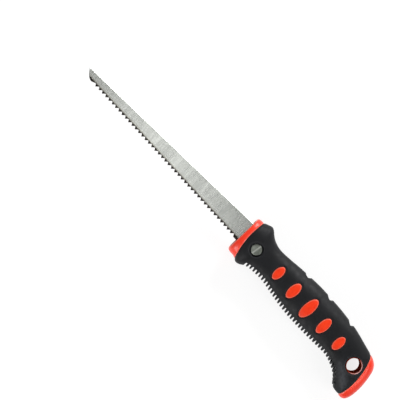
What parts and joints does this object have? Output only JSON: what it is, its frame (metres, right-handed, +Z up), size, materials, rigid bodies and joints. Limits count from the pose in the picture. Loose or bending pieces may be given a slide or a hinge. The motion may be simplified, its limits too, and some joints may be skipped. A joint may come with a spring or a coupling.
{
  "type": "drywall saw",
  "caption": "Hand jab saw for plasterboard: tapered toothed blade bolted by its tang into a moulded pistol-tail handle with a ribbed rubber grip, oval pads and a hang hole.",
  "frame": {"origin": "under the middle of the whole saw, on the surface that it lies on", "axes": "+X from the blade's tip to the butt, +Y from the teeth to the spine, +Z up through the thickness, out of the saw's left side"},
  "size_m": [0.3118, 0.0586, 0.0267],
  "materials": {
    "blade_steel": "satin, finely ground, with dark hardened teeth",
    "core_plastic": "moulded polypropylene, satin",
    "grip_rubber": "soft-touch thermoplastic rubber, fine grain",
    "trim_plastic": "moulded, semi-gloss",
    "pad_rubber": "soft-touch thermoplastic rubber, satin",
    "fastener_zinc": "zinc-plated, turned"
  },
  "bodies": {
    "root": {"saw_blade": "blade_steel", "handle_core": "core_plastic", "grip_overmould": "grip_rubber", "front_band": "trim_plastic", "butt_cap": "trim_plastic", "hang_hole_sleeve": "trim_plastic", "left_pad_1": "pad_rubber", "left_pad_2": "pad_rubber", "left_pad_3": "pad_rubber", "left_pad_4": "pad_rubber", "left_pad_5": "pad_rubber", "right_pad_1": "pad_rubber", "right_pad_2": "pad_rubber", "right_pad_3": "pad_rubber", "right_pad_4": "pad_rubber", "right_pad_5": "pad_rubber", "blade_screw": "fastener_zinc", "blade_nut": "fastener_zinc", "tang_pin_1": "fastener_zinc", "tang_pin_2": "fastener_zinc"}
  },
  "joints": []
}
